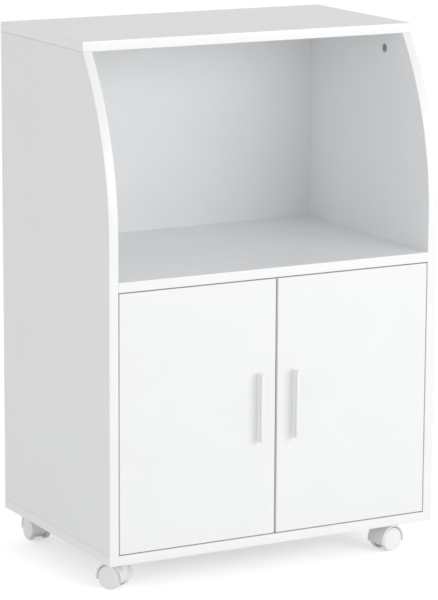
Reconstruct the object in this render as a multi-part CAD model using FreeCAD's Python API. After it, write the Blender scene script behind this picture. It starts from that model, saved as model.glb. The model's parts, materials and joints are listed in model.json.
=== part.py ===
import FreeCAD, Part
import math
import os

Vector = FreeCAD.Vector

# A microwave cart: a melamine board cabinet with an open bay over two inset doors, on four twin-wheel
# casters.
# Millimetres. +X to the right, +Y to the back, +Z up. The floor is z = 0, and the origin lies under the
# middle of the whole cart, handles included.

# ---- driving dimensions ----
CART_WIDTH = 600.0
CART_HEIGHT = 880.0
CARCASS_DEPTH = 400.0
BOARD = 16.0
CASTER_HEIGHT = 54.0
TOP_SETBACK = 91.0          # how far the top board stands back from the front
SHELF_TOP_RISE = 458.0      # microwave shelf's top above the carcass's underside
CURVE_START_RISE = 520.0    # where the side's front edge starts to curve back
EDGE_EASE = 0.4             # broken edges of the boards

BACK_THICKNESS = 3.0
BACK_INSET = 8.0            # back board's rear face to the carcass's rear edge
GROOVE_DEPTH = 7.5
GROOVE_PLAY = 0.15

DOOR_GAP = 2.0
MEETING_GAP = 4.4

HANDLE_LENGTH = 112.0
HANDLE_WIDTH = 8.0
HANDLE_WAIST = 5.8          # across the finger grooves in its sides
HANDLE_PROJECTION = 22.0
HANDLE_LIP = 3.2            # depth of the front edge's straight side
HANDLE_CROWN = 0.6          # how far the front face bulges
HANDLE_SOFT = 0.8           # chamfer round the ends
HANDLE_OFFSET = 32.5        # handle's centre to the cart's centre line
HANDLE_SCREW_SPACING = 96.0
HANDLE_SCREW_RADIUS = 2.0
HANDLE_SCREW_REACH = 10.0
HANDLE_SCREW_PLAY = 0.4

CAM_RADIUS = 7.5
CAM_DEPTH = 12.2
CAM_SETBACK = 31.0          # cam's centre to the board edge that it pulls tight
DOWEL_RADIUS = 4.0
DOWEL_LENGTH = 30.0

# concealed hinges. Pairs are (inwards, backwards) from the left door's outer front corner.
CUP_RADIUS = 17.5
CUP_DEPTH = 12.0
CUP_CENTRE = 22.5           # cup's centre to the door's outer edge
CUP_WALL = 1.2
CUP_LIP = 1.2
CUP_LIP_REACH = 1.6
CUP_EAR_RADIUS = 6.5
CUP_SCREW_SPACING = 48.0
CUP_SCREW_INSET = 9.5
CUP_SCREW_RADIUS = 1.6
CUP_SCREW_LENGTH = 10.0
LINK_PIN = (9.5, 9.0)
LINK_PIN_RADIUS = 1.2
CUP_PIN_LENGTH = 19.0
LINK_EYE_RADIUS = 2.0
LINK_HALF_WIDTH = 5.0
LINK_THICKNESS = 1.6
LINK_KNEE = (7.0, 6.5)      # goose-neck's bend: along the line to the arm's pin, and aside from it
LINK_LENGTH = 21.25
ARM_PIN = (30.0, 21.5)
ARM_PIN_RADIUS = 1.2
ARM_HALF_WIDTH = 7.6
ARM_SHEET = 1.2
ARM_BACK = 86.0
ARM_SCREW_DEPTH = 72.0
BLOCK_HEIGHT = 10.2
BLOCK_HALF_WIDTH = 6.0
BLOCK_FRONT = 45.0
BLOCK_BACK = 83.0
WING_HALF_WIDTH = 8.0
MOUNT_SCREW_DEPTH = 53.0
MOUNT_SCREW_SPACING = 32.0
MOUNT_SCREW_RADIUS = 2.0
MOUNT_SCREW_LENGTH = 11.0

# casters
WHEEL_RADIUS = 20.0
WHEEL_WIDTH = 8.0
CASTER_WIDTH = 36.6
CASTER_TRAIL = 14.0
HOOD_RADIUS = 24.5
HOOD_SOFT = 1.2             # bevelled rims of the hood
HOOD_SKIRT = 15.0           # height of the hood's lower edges
HOOD_TOP = 49.5
DRUM_RADIUS = 17.0          # the hood's body between the wheels
BOSS_FOOT = 22.0
KING_PIN_RADIUS = 3.5
KING_PIN_FOOT = 31.0
AXLE_RADIUS = 2.0
RUNNING_CLEARANCE = 0.06
WHEEL_ROOM = 1.3            # gap between a wheel's tread and the hood
PLATE_HALF = 19.0
PLATE_SHEET = 2.5
RACE_RADIUS = 10.5
CASTER_HOLE_HALF = 14.0
CASTER_SCREW_RADIUS = 1.8
CASTER_SCREW_LENGTH = 12.0
CASTER_SIDE_INSET = 46.0
CASTER_FRONT_INSET = 50.0
CASTER_REAR_INSET = 40.0
CASTER_HEADINGS = {"front_left": 123.0, "front_right": 192.0, "rear_left": 88.0, "rear_right": 150.0}

# ---- places worked out from them ----
HALF_WIDTH = CART_WIDTH / 2
INNER_X = HALF_WIDTH - BOARD
FRONT_Y = (HANDLE_PROJECTION - CARCASS_DEPTH) / 2
REAR_Y = FRONT_Y + CARCASS_DEPTH
BACK_FRONT_Y = REAR_Y - BACK_INSET - BACK_THICKNESS
SIDE_BOTTOM = CASTER_HEIGHT + BOARD
SIDE_TOP = CART_HEIGHT - BOARD
SHELF_TOP = CASTER_HEIGHT + SHELF_TOP_RISE
SHELF_UNDERSIDE = SHELF_TOP - BOARD
CURVE_START = CASTER_HEIGHT + CURVE_START_RISE
CURVE_RISE = SIDE_TOP - CURVE_START
CURVE_RADIUS = (TOP_SETBACK ** 2 + CURVE_RISE ** 2) / (2 * TOP_SETBACK)
TOP_FRONT_Y = FRONT_Y + TOP_SETBACK

DOOR_OUTER_X = INNER_X - DOOR_GAP
DOOR_INNER_X = MEETING_GAP / 2
DOOR_LOW = SIDE_BOTTOM + DOOR_GAP
DOOR_HIGH = SHELF_UNDERSIDE - DOOR_GAP
DOOR_BACK_Y = FRONT_Y + BOARD
HINGE_HEIGHTS = {"lower": DOOR_LOW + 90.0, "upper": DOOR_HIGH - 90.0}
HANDLE_HEIGHT = (DOOR_LOW + DOOR_HIGH) / 2 + 3.0

SIDE_MIDDLE_X = HALF_WIDTH - BOARD / 2
SHELF_MIDDLE = SHELF_TOP - BOARD / 2
TOP_CAM_YS = (-42.0,)
TOP_DOWEL_YS = (-74.0, 150.0)
LOW_CAM_YS = (FRONT_Y + 50.0, REAR_Y - 61.0)
LOW_DOWEL_YS = (FRONT_Y + 82.0, REAR_Y - 93.0)
SHELF_CAM_YS = (FRONT_Y + 50.0, BACK_FRONT_Y - 60.0)
SHELF_DOWEL_YS = (FRONT_Y + 82.0, BACK_FRONT_Y - 92.0)
CAM_BORE_DEPTH = CAM_DEPTH + 0.5
BOLT_BORE_RADIUS = 4.0
THREAD_RADIUS = 2.8
THREAD_LENGTH = 11.0

ADJUSTABLE_SHELF_TOP = 299.0
ADJUSTABLE_SHELF_FRONT_Y = FRONT_Y + 40.0
PIN_ROW_YS = (FRONT_Y + 85.0, REAR_Y - 75.0)
PIN_ROW_PITCH = 64.0
PIN_RADIUS = 2.5
PIN_SEAT_RADIUS = 3.5
PIN_DEPTH = 8.0
PIN_HEIGHT = ADJUSTABLE_SHELF_TOP - BOARD - PIN_SEAT_RADIUS

X_AXIS = Vector(1, 0, 0)
Y_AXIS = Vector(0, 1, 0)
Z_AXIS = Vector(0, 0, 1)


# ---- small helpers ----
def box(low, high):
    """A block between two opposite corners."""
    low = Vector(*low)
    size = Vector(*high) - low
    return Part.makeBox(size.x, size.y, size.z, low)


def rod(start, direction, radius, length):
    """A round bar from start along direction."""
    return Part.makeCylinder(radius, length, Vector(*start), direction)


def turned(profile, start, direction):
    """A solid turned about the line from start along direction. profile is (radius, distance) points."""
    points = [Vector(radius, 0, distance) for radius, distance in profile]
    face = Part.Face(Part.makePolygon(points + points[:1]))
    solid = face.revolve(Vector(0, 0, 0), Z_AXIS, 360)
    solid.Placement = FreeCAD.Placement(Vector(*start), FreeCAD.Rotation(Z_AXIS, direction))
    return solid


def outline(steps):
    """A closed wire. Each step is a point, or a pair of points: one that an arc passes and its end."""
    edges = []
    here = steps[0]
    for step in steps[1:] + steps[:1]:
        if isinstance(step, tuple):
            edges.append(Part.Arc(here, step[0], step[1]).toShape())
            here = step[1]
        else:
            edges.append(Part.LineSegment(here, step).toShape())
            here = step
    return Part.Wire(edges)


def slab(steps, thickness):
    """A solid of constant thickness with the outline's shape."""
    return Part.Face(outline(steps)).extrude(thickness)


def merged(solids):
    """Several touching or overlapping solids as one."""
    result = solids[0]
    for solid in solids[1:]:
        result = result.fuse(solid)
    return result.removeSplitter()


def cut_all(solid, cutters):
    """The solid without the cutters."""
    return solid.cut(Part.makeCompound(cutters))


def eased(solid, test):
    """The solid with a small chamfer on the edges that pass the test."""
    edges = [edge for edge in solid.Edges if test(edge)]
    return solid.makeChamfer(EDGE_EASE, edges)


def on_plane(edge, axis, value):
    """True if the whole edge lies where the coordinate has that value."""
    return all(abs(getattr(vertex.Point, axis) - value) < 0.01 for vertex in edge.Vertexes)


def mirrored(solid):
    """The same thing on the cart's right-hand side."""
    return solid.mirror(Vector(0, 0, 0), X_AXIS)


def group(solids):
    """Separate like pieces in one node."""
    return Part.makeCompound(solids)


# ---- joinery shared by several boards ----
def side_cam_places():
    """Cams in the left side board: (y, z, +1 if the bolt comes from above or -1 from below)."""
    high = [(y, SIDE_TOP - CAM_SETBACK, 1) for y in TOP_CAM_YS]
    low = [(y, SIDE_BOTTOM + CAM_SETBACK, -1) for y in LOW_CAM_YS]
    return high + low


def side_dowel_places():
    """Dowels across the left side board's ends: (y, z of the joint)."""
    return [(y, SIDE_TOP) for y in TOP_DOWEL_YS] + [(y, SIDE_BOTTOM) for y in LOW_DOWEL_YS]


def upright_dowel(y, joint_z):
    return rod((-SIDE_MIDDLE_X, y, joint_z - DOWEL_LENGTH / 2), Z_AXIS, DOWEL_RADIUS, DOWEL_LENGTH)


def level_dowel(y):
    return rod((-INNER_X - 10.0, y, SHELF_MIDDLE), X_AXIS, DOWEL_RADIUS, DOWEL_LENGTH)


def cam_lock(start, direction, bolt_side):
    """A cam housing: a drum with a pocket on the bolt's side and a cross slot in its face."""
    drum = rod(start, direction, CAM_RADIUS - 0.15, CAM_DEPTH)
    middle = Vector(*start) + direction * (BOARD / 2 - 0.5)
    across = direction.cross(bolt_side)
    pocket = Part.makeBox(7.4, 7.4, 12.0, Vector(-3.7, -3.7, -4.0))
    frame = FreeCAD.Rotation(across, direction, bolt_side, "ZXY")
    pocket.Placement = FreeCAD.Placement(middle, frame).multiply(pocket.Placement)
    slots = []
    for width, height in ((6.4, 1.2), (1.2, 6.4)):
        slot = Part.makeBox(width, height, 2.4, Vector(-width / 2, -height / 2, -0.2))
        slot.Placement = FreeCAD.Placement(Vector(*start), FreeCAD.Rotation(Z_AXIS, direction))
        slots.append(slot)
    return cut_all(drum, [pocket] + slots)


def cam_bolt(joint, direction):
    """A connecting bolt. It is screwed in beyond the joint, and its ball head reaches the cam."""
    reach = CAM_SETBACK
    profile = [(0, -THREAD_LENGTH), (THREAD_RADIUS, -THREAD_LENGTH), (THREAD_RADIUS, 0), (3.4, 0),
               (3.4, reach - 9.0), (1.7, reach - 8.0), (1.7, reach - 2.6), (3.2, reach - 1.2),
               (3.2, reach + 1.2), (1.6, reach + 2.6), (0, reach + 2.6)]
    return turned(profile, joint, direction)


# ---- boards ----
def left_side_panel():
    """Side board: straight up past the shelf, then one arc back to the top board."""
    half_turn = math.atan2(CURVE_RISE, CURVE_RADIUS - TOP_SETBACK) / 2
    arc_middle_y = FRONT_Y + CURVE_RADIUS * (1 - math.cos(half_turn))
    arc_middle_z = CURVE_START + CURVE_RADIUS * math.sin(half_turn)
    x = -HALF_WIDTH
    steps = [Vector(x, FRONT_Y, SIDE_BOTTOM), Vector(x, FRONT_Y, CURVE_START),
             (Vector(x, arc_middle_y, arc_middle_z), Vector(x, TOP_FRONT_Y, SIDE_TOP)),
             Vector(x, REAR_Y, SIDE_TOP), Vector(x, REAR_Y, SIDE_BOTTOM)]

    def outer_or_front(edge):
        front = all(vertex.Y < TOP_FRONT_Y + 0.01 for vertex in edge.Vertexes)
        return on_plane(edge, "x", -HALF_WIDTH) or (on_plane(edge, "x", -INNER_X) and front)

    board = eased(slab(steps, X_AXIS * BOARD), outer_or_front)
    groove = box((-INNER_X - GROOVE_DEPTH, BACK_FRONT_Y - GROOVE_PLAY, SIDE_BOTTOM - 1),
                 (-INNER_X + 1, BACK_FRONT_Y + BACK_THICKNESS + GROOVE_PLAY, SIDE_TOP + 1))
    cutters = [groove]
    for y, z, up in side_cam_places():
        cutters.append(rod((-INNER_X, y, z), -X_AXIS, CAM_RADIUS, CAM_BORE_DEPTH))
        cutters.append(rod((-SIDE_MIDDLE_X, y, z), Z_AXIS * up, BOLT_BORE_RADIUS, CAM_SETBACK + 1))
    cutters += [upright_dowel(y, z) for y, z in side_dowel_places()]
    for y in SHELF_CAM_YS:
        cutters.append(rod((-INNER_X, y, SHELF_MIDDLE), -X_AXIS, THREAD_RADIUS, THREAD_LENGTH))
    cutters += [level_dowel(y) for y in SHELF_DOWEL_YS]
    for z in HINGE_HEIGHTS.values():
        for start in plate_screw_places(z):
            cutters.append(rod(start, -X_AXIS, MOUNT_SCREW_RADIUS, MOUNT_SCREW_LENGTH + 0.5))
    for y in PIN_ROW_YS:
        for step in (-1, 0, 1):
            z = PIN_HEIGHT + step * PIN_ROW_PITCH
            cutters.append(rod((-INNER_X, y, z), -X_AXIS, PIN_RADIUS, PIN_DEPTH + 0.5))
    return cut_all(board, cutters)


def end_board(low, high, groove_low, groove_high, joint_z, bolt_up):
    """Top or bottom board: it covers both sides' ends and has a stopped groove for the back."""
    board = box(low, high)
    board = eased(board, lambda edge: True)
    cutters = [box((-INNER_X - GROOVE_DEPTH, BACK_FRONT_Y - GROOVE_PLAY, groove_low),
                   (INNER_X + GROOVE_DEPTH, BACK_FRONT_Y + BACK_THICKNESS + GROOVE_PLAY, groove_high))]
    for y, z, up in side_cam_places():
        if up == bolt_up:
            thread = rod((-SIDE_MIDDLE_X, y, joint_z), Z_AXIS * up, THREAD_RADIUS, THREAD_LENGTH)
            cutters += [thread, mirrored(thread)]
    for y, z in side_dowel_places():
        if z == joint_z:
            cutters += [upright_dowel(y, z), mirrored(upright_dowel(y, z))]
    return cut_all(board, cutters)


def top_panel():
    return end_board((-HALF_WIDTH, TOP_FRONT_Y, SIDE_TOP), (HALF_WIDTH, REAR_Y, CART_HEIGHT),
                     SIDE_TOP - 1, SIDE_TOP + GROOVE_DEPTH, SIDE_TOP, 1)


def bottom_panel():
    board = end_board((-HALF_WIDTH, FRONT_Y, CASTER_HEIGHT), (HALF_WIDTH, REAR_Y, SIDE_BOTTOM),
                      SIDE_BOTTOM - GROOVE_DEPTH, SIDE_BOTTOM + 1, SIDE_BOTTOM, -1)
    pilots = [rod((x, y, CASTER_HEIGHT), Z_AXIS, CASTER_SCREW_RADIUS, CASTER_SCREW_LENGTH + 0.5)
              for x, y in caster_screw_places()]
    return cut_all(board, pilots)


def microwave_shelf():
    """Fixed shelf between the sides. Its front edge is flush with theirs."""
    board = box((-INNER_X, FRONT_Y, SHELF_UNDERSIDE), (INNER_X, BACK_FRONT_Y, SHELF_TOP))
    full_width = 2 * INNER_X
    board = eased(board, lambda edge: on_plane(edge, "y", FRONT_Y) and abs(edge.Length - full_width) < 0.01)
    cutters = [level_dowel(y) for y in SHELF_DOWEL_YS]
    for y in SHELF_CAM_YS:
        cutters.append(rod((CAM_SETBACK - INNER_X, y, SHELF_UNDERSIDE), Z_AXIS, CAM_RADIUS, CAM_BORE_DEPTH))
        cutters.append(rod((-INNER_X - 1, y, SHELF_MIDDLE), X_AXIS, BOLT_BORE_RADIUS, CAM_SETBACK))
    return cut_all(board, cutters + [mirrored(cutter) for cutter in cutters])


def back_panel():
    """Thin back board held in the grooves."""
    reach = GROOVE_DEPTH - 0.5
    return box((-INNER_X - reach, BACK_FRONT_Y, SIDE_BOTTOM - reach),
               (INNER_X + reach, BACK_FRONT_Y + BACK_THICKNESS, SIDE_TOP + reach))


def adjustable_shelf():
    """Loose shelf behind the doors, on four pins."""
    board = box((-INNER_X + 1, ADJUSTABLE_SHELF_FRONT_Y, ADJUSTABLE_SHELF_TOP - BOARD),
                (INNER_X - 1, BACK_FRONT_Y - 1, ADJUSTABLE_SHELF_TOP))
    return eased(board, lambda edge: True)


def shelf_pins():
    """Shelf pins: a peg in the side board and a thicker seat under the shelf."""
    profile = [(0, -PIN_DEPTH), (PIN_RADIUS, -PIN_DEPTH), (PIN_RADIUS, 0), (PIN_SEAT_RADIUS, 0),
               (PIN_SEAT_RADIUS, 9.0), (0, 9.0)]
    left = [turned(profile, (-INNER_X, y, PIN_HEIGHT), X_AXIS) for y in PIN_ROW_YS]
    return group(left + [mirrored(pin) for pin in left])


def cam_locks():
    left = [cam_lock((-INNER_X - 0.5, y, z), -X_AXIS, Z_AXIS * up) for y, z, up in side_cam_places()]
    left += [cam_lock((CAM_SETBACK - INNER_X, y, SHELF_UNDERSIDE + 0.5), Z_AXIS, -X_AXIS)
             for y in SHELF_CAM_YS]
    return group(left + [mirrored(cam) for cam in left])


def cam_bolts():
    left = []
    for y, z, up in side_cam_places():
        joint_z = SIDE_TOP if up > 0 else SIDE_BOTTOM
        left.append(cam_bolt((-SIDE_MIDDLE_X, y, joint_z), Z_AXIS * -up))
    left += [cam_bolt((-INNER_X, y, SHELF_MIDDLE), X_AXIS) for y in SHELF_CAM_YS]
    return group(left + [mirrored(bolt) for bolt in left])


def dowels():
    left = [upright_dowel(y, z) for y, z in side_dowel_places()]
    left += [level_dowel(y) for y in SHELF_DOWEL_YS]
    return group(left + [mirrored(dowel) for dowel in left])


# ---- doors and handles ----
def handle_screw_heights():
    half = HANDLE_SCREW_SPACING / 2
    return (HANDLE_HEIGHT - half, HANDLE_HEIGHT + half)


def left_door():
    """Inset door with two cup bores and two handle screw holes."""
    door = box((-DOOR_OUTER_X, FRONT_Y, DOOR_LOW), (-DOOR_INNER_X, DOOR_BACK_Y, DOOR_HIGH))
    door = eased(door, lambda edge: on_plane(edge, "y", FRONT_Y) or on_plane(edge, "y", DOOR_BACK_Y))
    cutters = []
    for z in HINGE_HEIGHTS.values():
        cutters.append(rod((CUP_CENTRE - DOOR_OUTER_X, DOOR_BACK_Y, z), -Y_AXIS, CUP_RADIUS, CUP_DEPTH))
        for start in cup_screw_places(z):
            cutters.append(rod(start, -Y_AXIS, CUP_SCREW_RADIUS, CUP_SCREW_LENGTH + 0.5))
    for z in handle_screw_heights():
        radius = HANDLE_SCREW_RADIUS + HANDLE_SCREW_PLAY
        cutters.append(rod((-HANDLE_OFFSET, FRONT_Y - 1, z), Y_AXIS, radius, BOARD + 2))
    return cut_all(door, cutters)


def handle_section(x, z):
    """The handle's level section: a crowned front lip, sides hollowed for the fingers, and a flat foot."""
    half = HANDLE_WIDTH / 2
    lip_y = FRONT_Y - HANDLE_PROJECTION + HANDLE_CROWN
    groove_y = lip_y + HANDLE_LIP
    foot_y = FRONT_Y - HANDLE_SOFT
    middle_y = (groove_y + foot_y) / 2

    def at(across, y):
        return Vector(x + across, y, z)

    return [at(-half, FRONT_Y), at(-half, foot_y),
            (at(-HANDLE_WAIST / 2, middle_y), at(-half, groove_y)), at(-half, lip_y),
            (at(0, lip_y - HANDLE_CROWN), at(half, lip_y)), at(half, groove_y),
            (at(HANDLE_WAIST / 2, middle_y), at(half, foot_y)), at(half, FRONT_Y)]


def left_door_handle():
    """Bar handle of one drawn section, its ends and long front edges softened."""
    low = HANDLE_HEIGHT - HANDLE_LENGTH / 2
    high = HANDLE_HEIGHT + HANDLE_LENGTH / 2
    lip_y = FRONT_Y - HANDLE_PROJECTION + HANDLE_CROWN
    handle = slab(handle_section(-HANDLE_OFFSET, low), Z_AXIS * HANDLE_LENGTH)
    long_edges = [edge for edge in handle.Edges
                  if on_plane(edge, "y", lip_y) and abs(edge.Length - HANDLE_LENGTH) < 0.01]
    handle = handle.makeFillet(HANDLE_SOFT, long_edges)
    ends = [edge for edge in handle.Edges
            if (on_plane(edge, "z", low) or on_plane(edge, "z", high)) and not on_plane(edge, "y", FRONT_Y)]
    handle = handle.makeChamfer(HANDLE_SOFT / 2, ends)
    bores = [rod((-HANDLE_OFFSET, FRONT_Y, z), -Y_AXIS, HANDLE_SCREW_RADIUS, HANDLE_SCREW_REACH + 2)
             for z in handle_screw_heights()]
    return cut_all(handle, bores)


def left_handle_screws():
    """Pan-head screws from inside the door into the handle."""
    reach = BOARD + HANDLE_SCREW_REACH
    profile = [(0, -reach), (HANDLE_SCREW_RADIUS, -reach), (HANDLE_SCREW_RADIUS, 0), (4.2, 0), (4.2, 1.4),
               (3.0, 2.6), (0, 2.6)]
    screws = [turned(profile, (-HANDLE_OFFSET, DOOR_BACK_Y, z), Y_AXIS) for z in handle_screw_heights()]
    return group(screws)


# ---- concealed cup hinges, left-hand door ----
HINGE_ORIGIN = Vector(-DOOR_OUTER_X, FRONT_Y, 0)


def hinge_point(inwards, backwards, z):
    """A point given from the left door's outer front corner."""
    return HINGE_ORIGIN + Vector(inwards, backwards, z)


def cup_screw_places(z):
    inwards = CUP_CENTRE + CUP_SCREW_INSET
    half = CUP_SCREW_SPACING / 2
    return [hinge_point(inwards, BOARD, z - half), hinge_point(inwards, BOARD, z + half)]


def hinge_cup(z):
    """Pressed cup with a lip and two screw ears. Its wall is notched where the link leaves."""
    centre = hinge_point(CUP_CENTRE, BOARD, z)
    outer = rod(centre, -Y_AXIS, CUP_RADIUS - 0.1, CUP_DEPTH - 0.5)
    lip = rod(centre, Y_AXIS, CUP_RADIUS + CUP_LIP_REACH, CUP_LIP)
    ears = [rod(place, Y_AXIS, CUP_EAR_RADIUS, CUP_LIP) for place in cup_screw_places(z)]
    low, high = cup_screw_places(z)
    bridge = box((low.x - CUP_EAR_RADIUS, low.y, low.z), (low.x + CUP_EAR_RADIUS, low.y + CUP_LIP, high.z))
    hollow = rod(centre + Y_AXIS * (CUP_LIP + 1), -Y_AXIS, CUP_RADIUS - CUP_WALL, CUP_DEPTH + CUP_LIP - 0.7)
    notch_low = hinge_point(CUP_CENTRE - CUP_RADIUS - 4, 12.0, z - LINK_HALF_WIDTH - 1)
    notch_high = hinge_point(CUP_CENTRE - 10, BOARD + CUP_LIP + 1, z + LINK_HALF_WIDTH + 1)
    holes = [rod(place - Y_AXIS, Y_AXIS, CUP_SCREW_RADIUS, 4) for place in cup_screw_places(z)]
    body = merged([outer, lip, bridge] + ears)
    return cut_all(body, [hollow, cup_pin(z), box(tuple(notch_low), tuple(notch_high))] + holes)


def cup_pin(z):
    low = hinge_point(LINK_PIN[0], LINK_PIN[1], z - CUP_PIN_LENGTH / 2)
    return rod(low, Z_AXIS, LINK_PIN_RADIUS, CUP_PIN_LENGTH)


def hinge_link(z):
    """Goose-neck link. Its eye turns on the cup's pin, and its other end runs between the arm's cheeks."""
    start = Vector(LINK_PIN[0], LINK_PIN[1])
    along = (Vector(ARM_PIN[0], ARM_PIN[1]) - start).normalize()
    aside = Vector(along.y, -along.x)
    knee = start + along * LINK_KNEE[0] + aside * LINK_KNEE[1]
    end = start + along * LINK_LENGTH
    low = z - LINK_HALF_WIDTH
    width = 2 * LINK_HALF_WIDTH
    parts = [rod(hinge_point(start.x, start.y, low), Z_AXIS, LINK_EYE_RADIUS, width)]
    for first, last in ((start, knee), (knee, end)):
        run = last - first
        strip = Part.makeBox(run.Length, LINK_THICKNESS, width, Vector(0, -LINK_THICKNESS / 2, 0))
        turn = FreeCAD.Rotation(X_AXIS, run)
        strip.Placement = FreeCAD.Placement(hinge_point(first.x, first.y, low), turn)
        parts += [strip, rod(hinge_point(last.x, last.y, low), Z_AXIS, LINK_THICKNESS / 2, width)]
    eye = rod(hinge_point(start.x, start.y, low - 1), Z_AXIS, LINK_PIN_RADIUS + RUNNING_CLEARANCE, width + 2)
    return merged(parts).cut(eye)


def arm_outline(z, inset):
    """The cranked arm's side view. inset draws the same shape smaller, for the hollow in it."""
    def at(inwards, backwards):
        return hinge_point(inwards, backwards, z)

    i = inset
    top = BLOCK_HEIGHT + ARM_SHEET
    return [at(3.0 - i, ARM_BACK - i), at(top - i, ARM_BACK - i), at(top - i, 54.0),
            (at(13.0 - i, 49.0 - i), at(16.5 - i, 45.0 - i)), at(31.0 - i, 31.0 - i),
            (at(33.4 - i, 27.0 - i), at(34.0 - i, 22.5)), at(33.4 - i, 15.0),
            (at(31.6 - i, 11.6 - i), at(28.0, 10.4 - i)), at(22.5, 11.4 - i),
            (at(20.2, 12.8), at(19.5, 15.6)), at(19.5, 22.0),
            at(5.0, 36.0), (at(3.4, 39.0), at(3.0 - i, 43.0))]


def hinge_arm(z):
    """Folded sheet arm: a spine with two cheeks, cranked for an inset door."""
    low = z - ARM_HALF_WIDTH
    body = slab(arm_outline(low, 0.0), Z_AXIS * (2 * ARM_HALF_WIDTH))
    hollow = slab(arm_outline(low + ARM_SHEET, ARM_SHEET), Z_AXIS * (2 * (ARM_HALF_WIDTH - ARM_SHEET)))
    mouth = box(tuple(hinge_point(12.0, 5.0, low + ARM_SHEET)),
                tuple(hinge_point(36.0, 17.5, z + ARM_HALF_WIDTH - ARM_SHEET)))
    pin = rod(hinge_point(ARM_PIN[0], ARM_PIN[1], low - 1), Z_AXIS, ARM_PIN_RADIUS, 2 * ARM_HALF_WIDTH + 2)
    screw = rod(hinge_point(0, ARM_SCREW_DEPTH, z), X_AXIS, 3.1, 20)
    return cut_all(body, [hollow, mouth, pin, screw])


def hinge_arm_pin(z):
    start = hinge_point(ARM_PIN[0], ARM_PIN[1], z - ARM_HALF_WIDTH)
    return rod(start, Z_AXIS, ARM_PIN_RADIUS, 2 * ARM_HALF_WIDTH)


def hinge_plate(z):
    """Winged mounting plate with a raised block that the arm straddles."""
    half = MOUNT_SCREW_SPACING / 2
    ends = [rod(start, X_AXIS, WING_HALF_WIDTH, DOOR_GAP) for start in plate_screw_places(z)]
    wing = box(tuple(hinge_point(-DOOR_GAP, MOUNT_SCREW_DEPTH - WING_HALF_WIDTH, z - half)),
               tuple(hinge_point(0, MOUNT_SCREW_DEPTH + WING_HALF_WIDTH, z + half)))
    block = box(tuple(hinge_point(-DOOR_GAP, BLOCK_FRONT, z - BLOCK_HALF_WIDTH)),
                tuple(hinge_point(BLOCK_HEIGHT, BLOCK_BACK, z + BLOCK_HALF_WIDTH)))
    holes = [rod(start - X_AXIS, X_AXIS, MOUNT_SCREW_RADIUS, 4) for start in plate_screw_places(z)]
    holes.append(rod(hinge_point(1.0, ARM_SCREW_DEPTH, z), X_AXIS, 2.6, 12))
    return cut_all(merged(ends + [wing, block]), holes)


def plate_screw_places(z):
    half = MOUNT_SCREW_SPACING / 2
    return [hinge_point(-DOOR_GAP, MOUNT_SCREW_DEPTH, height) for height in (z - half, z + half)]


def hinge_screw(start, direction, radius, length, seat):
    """Low-head screw. start is on the board's face, and its head sits on a plate of thickness seat."""
    profile = [(0, -length), (radius, -length), (radius, seat), (radius + 1.8, seat),
               (radius + 1.4, seat + 1.3), (0, seat + 1.3)]
    return turned(profile, start, direction)


def hinge_plate_screws():
    left = []
    for z in HINGE_HEIGHTS.values():
        left += [hinge_screw(start, X_AXIS, MOUNT_SCREW_RADIUS, MOUNT_SCREW_LENGTH, 2.0)
                 for start in plate_screw_places(z)]
    return group(left + [mirrored(screw) for screw in left])


def hinge_arm_screws():
    """Machine screws that clamp the arms on their blocks."""
    seat = BLOCK_HEIGHT + ARM_SHEET
    profile = [(0, 1.2), (2.55, 1.2), (2.55, seat), (4.2, seat), (4.2, seat + 1.6), (3.4, seat + 2.4),
               (0, seat + 2.4)]
    left = [turned(profile, hinge_point(0, ARM_SCREW_DEPTH, z), X_AXIS) for z in HINGE_HEIGHTS.values()]
    return group(left + [mirrored(screw) for screw in left])


def left_cup_screws():
    screws = []
    for z in HINGE_HEIGHTS.values():
        screws += [hinge_screw(start, Y_AXIS, CUP_SCREW_RADIUS, CUP_SCREW_LENGTH, CUP_LIP)
                   for start in cup_screw_places(z)]
    return group(screws)


# ---- casters ----
WEB_HALF = CASTER_WIDTH / 2 - WHEEL_WIDTH - 1.0


def caster_places():
    """Swivel axis of each caster, by name."""
    x = HALF_WIDTH - CASTER_SIDE_INSET
    front = FRONT_Y + CASTER_FRONT_INSET
    rear = REAR_Y - CASTER_REAR_INSET
    return {"front_left": (-x, front), "front_right": (x, front),
            "rear_left": (-x, rear), "rear_right": (x, rear)}


def caster_screw_places():
    places = []
    for x, y in caster_places().values():
        for side_x in (-1, 1):
            for side_y in (-1, 1):
                places.append((x + side_x * CASTER_HOLE_HALF, y + side_y * CASTER_HOLE_HALF))
    return places


def placed(solid, name):
    """A caster piece, drawn about its swivel axis and trailing along +X, at its place and heading."""
    x, y = caster_places()[name]
    turn = FreeCAD.Rotation(Z_AXIS, CASTER_HEADINGS[name])
    solid.Placement = FreeCAD.Placement(Vector(x, y, 0), turn).multiply(solid.Placement)
    return solid


def caster_plate(name):
    """Square mounting plate with round corners, four screw holes and a raised race."""
    x, y = caster_places()[name]
    low = CASTER_HEIGHT - PLATE_SHEET
    plate = box((-PLATE_HALF, -PLATE_HALF, low), (PLATE_HALF, PLATE_HALF, CASTER_HEIGHT))
    corners = [edge for edge in plate.Edges if abs(edge.Length - PLATE_SHEET) < 0.01]
    plate = plate.makeFillet(4.0, corners)
    race = rod((0, 0, HOOD_TOP + 0.3), Z_AXIS, RACE_RADIUS, low - HOOD_TOP - 0.3)
    holes = [rod((0, 0, HOOD_TOP), Z_AXIS, KING_PIN_RADIUS, 10)]
    for side_x in (-1, 1):
        for side_y in (-1, 1):
            start = (side_x * CASTER_HOLE_HALF, side_y * CASTER_HOLE_HALF, low - 1)
            holes.append(rod(start, Z_AXIS, CASTER_SCREW_RADIUS + 0.3, PLATE_SHEET + 2))
    plate = cut_all(merged([plate, race]), holes)
    plate.Placement = FreeCAD.Placement(Vector(x, y, 0), FreeCAD.Rotation())
    return plate


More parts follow.
